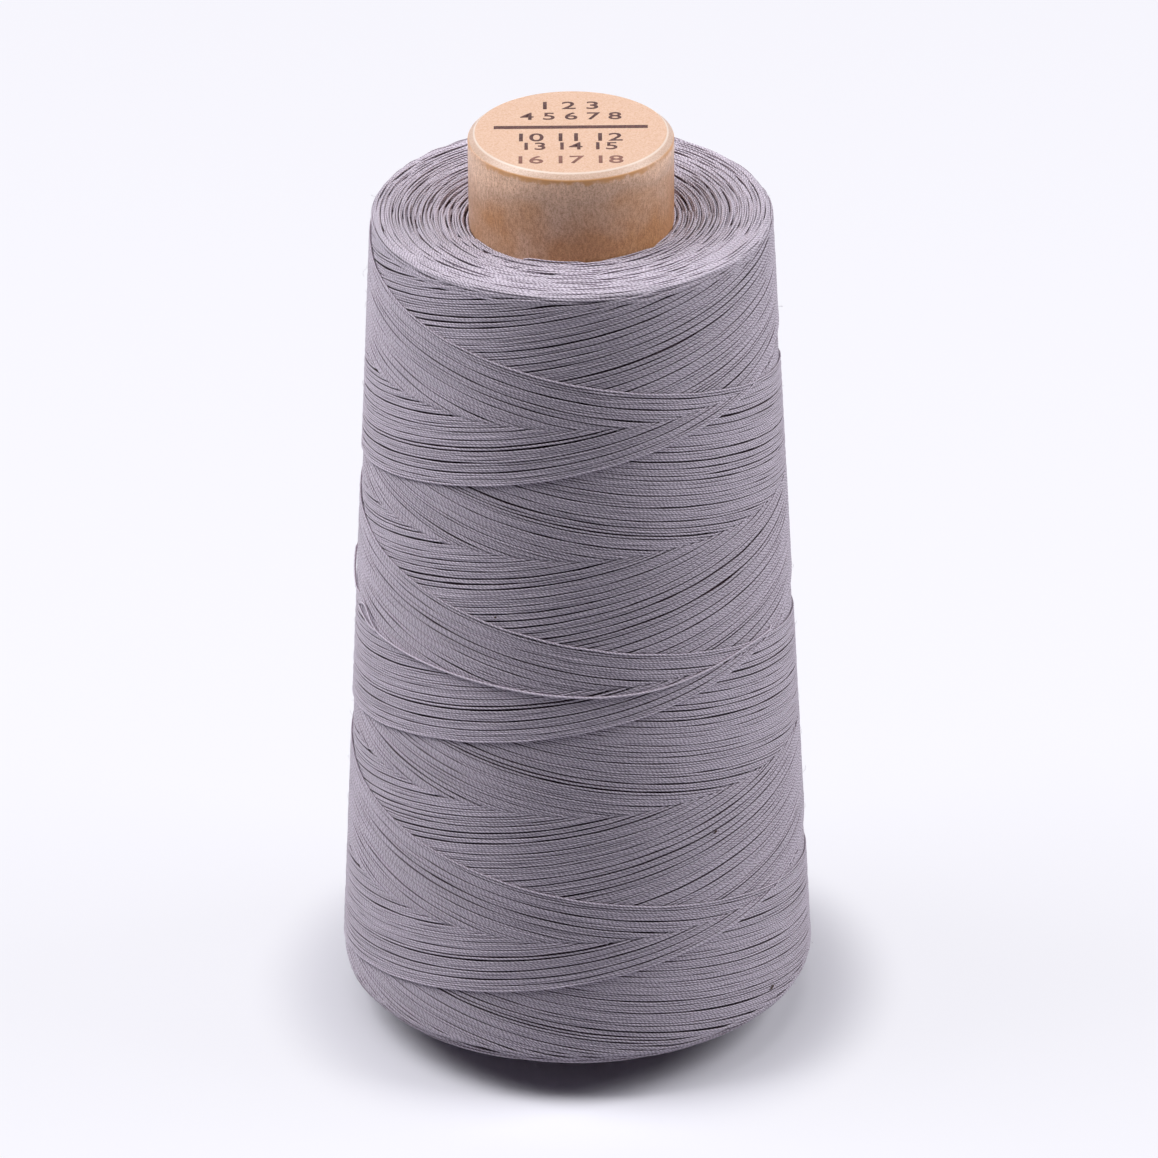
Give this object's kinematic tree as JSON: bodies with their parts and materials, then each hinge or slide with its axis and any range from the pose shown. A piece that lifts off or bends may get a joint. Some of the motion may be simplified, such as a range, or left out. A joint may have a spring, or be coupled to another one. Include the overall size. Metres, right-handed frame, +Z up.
{
  "type": "cone of sewing thread",
  "caption": "Cross-wound cone of grey two-ply cotton sewing thread on a turned wooden core that stands on its foot or on a thread stand's pin.",
  "frame": {"origin": "centre of the core's foot, on the surface that the spool stands on", "axes": "+Z up along the core, -Y towards the pictured front"},
  "size_m": [0.0636, 0.0636, 0.1285],
  "materials": {
    "core_wood": "turned and clear lacquered",
    "cotton_thread": "two-ply spun cotton"
  },
  "bodies": {
    "root": {"wooden_core": "core_wood", "yarn_body": "cotton_thread", "outer_turns": "cotton_thread", "thread_end": "cotton_thread"}
  },
  "joints": []
}
